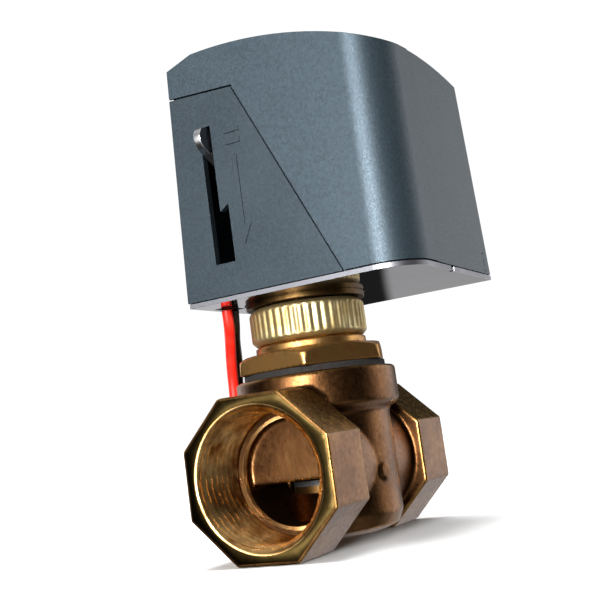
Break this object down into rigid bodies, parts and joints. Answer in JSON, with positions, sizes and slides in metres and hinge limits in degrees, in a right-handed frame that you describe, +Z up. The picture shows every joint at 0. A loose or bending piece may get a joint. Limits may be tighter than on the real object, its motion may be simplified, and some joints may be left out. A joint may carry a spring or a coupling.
{
  "type": "motorized valve actuator on a two-port valve",
  "caption": "motorized two-port valve: octagonal threaded pipe ends, brown brass body, fluted union nut, grey gearbox housing with a slotted manual lever and flying leads",
  "frame": {"origin": "on the stem axis, level with the flats that the valve rests on", "axes": "+Z up along the stem, the pipe runs along Y with the inlet facing -Y, +X to the side that the housing overhangs"},
  "size_m": [0.0765, 0.0847, 0.1316],
  "materials": {
    "valve_body": "sand-cast brass, browned, machined faces and threads bright",
    "bonnet": "browned turned brass",
    "bonnet_gasket": "matt fibre",
    "stem_gland": "turned brass",
    "stem_o_rings": "matt rubber",
    "stem": "ground stainless steel",
    "plug_plate": "turned brass",
    "plug_seal": "matt rubber",
    "plug_nut": "plated steel",
    "stem_spring": "spring wire",
    "stem_cap": "turned brass",
    "union_nut": "bright turned brass, fluted",
    "hub": "turned brass",
    "hub_screws": "zinc plated",
    "base_plate": "pressed sheet, satin",
    "base_tray": "fine-grained moulded plastic, blue grey",
    "cover": "fine-grained moulded plastic, blue grey",
    "cover_screws": "zinc plated",
    "frame_plate_left": "zinc-plated sheet",
    "frame_plate_middle": "zinc-plated sheet",
    "frame_plate_right": "zinc-plated sheet",
    "frame_pillars": "turned brass",
    "frame_screws": "zinc plated",
    "cross_shaft_bushes": "sintered bronze",
    "cross_shaft": "ground steel",
    "manual_lever": "black, edges worn bright",
    "rack_pinion": "sintered steel",
    "sector_gear": "sintered steel",
    "rack_plunger": "acetal",
    "plunger_spring": "spring wire",
    "gear_pins": "ground steel",
    "gear_3": "acetal",
    "gear_2": "acetal",
    "gear_1": "acetal",
    "motor_can": "zinc-plated drawn steel",
    "motor_end_plate": "zinc-plated steel",
    "motor_coil": "enamelled copper wire",
    "coil_bobbin": "nylon",
    "rotor_shaft": "ground steel",
    "rotor_magnet": "ferrite",
    "rotor_pinion": "turned brass",
    "motor_screws": "zinc plated",
    "terminal_block": "nylon",
    "lead_bush": "moulded rubber",
    "inner_leads": "PVC insulated wire",
    "lead_red": "red PVC insulation",
    "lead_black": "black PVC insulation",
    "lead_red_tip": "tinned strands",
    "lead_black_tip": "tinned strands"
  },
  "bodies": {
    "body": {"valve_body": "valve_body", "bonnet": "bonnet", "bonnet_gasket": "bonnet_gasket", "stem_gland": "stem_gland", "stem_o_rings": "stem_o_rings", "stem_spring": "stem_spring", "hub": "hub", "hub_screws": "hub_screws", "base_plate": "base_plate", "base_tray": "base_tray", "cover": "cover", "cover_screws": "cover_screws", "frame_plate_left": "frame_plate_left", "frame_plate_middle": "frame_plate_middle", "frame_plate_right": "frame_plate_right", "frame_pillars": "frame_pillars", "frame_screws": "frame_screws", "cross_shaft_bushes": "cross_shaft_bushes", "plunger_spring": "plunger_spring", "gear_pins": "gear_pins", "motor_can": "motor_can", "motor_end_plate": "motor_end_plate", "motor_coil": "motor_coil", "coil_bobbin": "coil_bobbin", "motor_screws": "motor_screws", "terminal_block": "terminal_block", "lead_bush": "lead_bush", "inner_leads": "inner_leads", "lead_red": "lead_red", "lead_black": "lead_black", "lead_red_tip": "lead_red_tip", "lead_black_tip": "lead_black_tip"},
    "nut": {"union_nut": "union_nut"},
    "rotor": {"rotor_shaft": "rotor_shaft", "rotor_magnet": "rotor_magnet", "rotor_pinion": "rotor_pinion"},
    "gear_1": {"gear_1": "gear_1"},
    "gear_2": {"gear_2": "gear_2"},
    "gear_3": {"gear_3": "gear_3"},
    "lever": {"cross_shaft": "cross_shaft", "manual_lever": "manual_lever", "rack_pinion": "rack_pinion", "sector_gear": "sector_gear"},
    "plunger": {"rack_plunger": "rack_plunger"},
    "stem": {"stem": "stem", "plug_plate": "plug_plate", "plug_seal": "plug_seal", "plug_nut": "plug_nut", "stem_cap": "stem_cap"}
  },
  "joints": [
    {"name": "lever_swing", "type": "hinge", "parent": "body", "child": "lever", "pos_m": [0, 0.009, 0.0905], "axis": [1, 0, 0], "range_deg": [0, 46.5], "stiffness_Nm_per_rad": 0.01, "springref_deg": -57.3},
    {"name": "motor_turn", "type": "hinge", "parent": "body", "child": "rotor", "pos_m": [0, 0.00096, 0.09265], "axis": [1, 0, 0], "range_deg": [0, 9642.34]},
    {"name": "gear_1_turn", "type": "hinge", "parent": "body", "child": "gear_1", "pos_m": [0, -0.01015, 0.09562], "axis": [1, 0, 0], "range_deg": [-2678.5, 0]},
    {"name": "gear_2_turn", "type": "hinge", "parent": "body", "child": "gear_2", "pos_m": [0, -0.01015, 0.10712], "axis": [1, 0, 0], "range_deg": [0, 744.1]},
    {"name": "gear_3_turn", "type": "hinge", "parent": "body", "child": "gear_3", "pos_m": [0, 0.00216, 0.10929], "axis": [1, 0, 0], "range_deg": [-186.1, 0]},
    {"name": "plunger_slide", "type": "slide", "parent": "body", "child": "plunger", "axis": [0, 0, -1], "range_m": [0, 0.0049], "deforming": ["plunger_spring"]},
    {"name": "stem_slide", "type": "slide", "parent": "body", "child": "stem", "axis": [0, 0, -1], "range_m": [0, 0.0049], "deforming": ["stem_spring"]},
    {"name": "union_nut_turn", "type": "hinge", "parent": "body", "child": "nut", "pos_m": [0, 0, 0.055], "axis": [0, 0, 1], "continuous": true}
  ],
  "couplings": [
    {"joint": "motor_turn", "follows": "lever_swing", "ratio": 207.36},
    {"joint": "gear_1_turn", "follows": "lever_swing", "ratio": -57.6},
    {"joint": "gear_2_turn", "follows": "lever_swing", "ratio": 16},
    {"joint": "gear_3_turn", "follows": "lever_swing", "ratio": -4},
    {"joint": "plunger_slide", "follows": "lever_swing", "m_per_rad": 0.006},
    {"joint": "stem_slide", "follows": "lever_swing", "m_per_rad": 0.006}
  ]
}
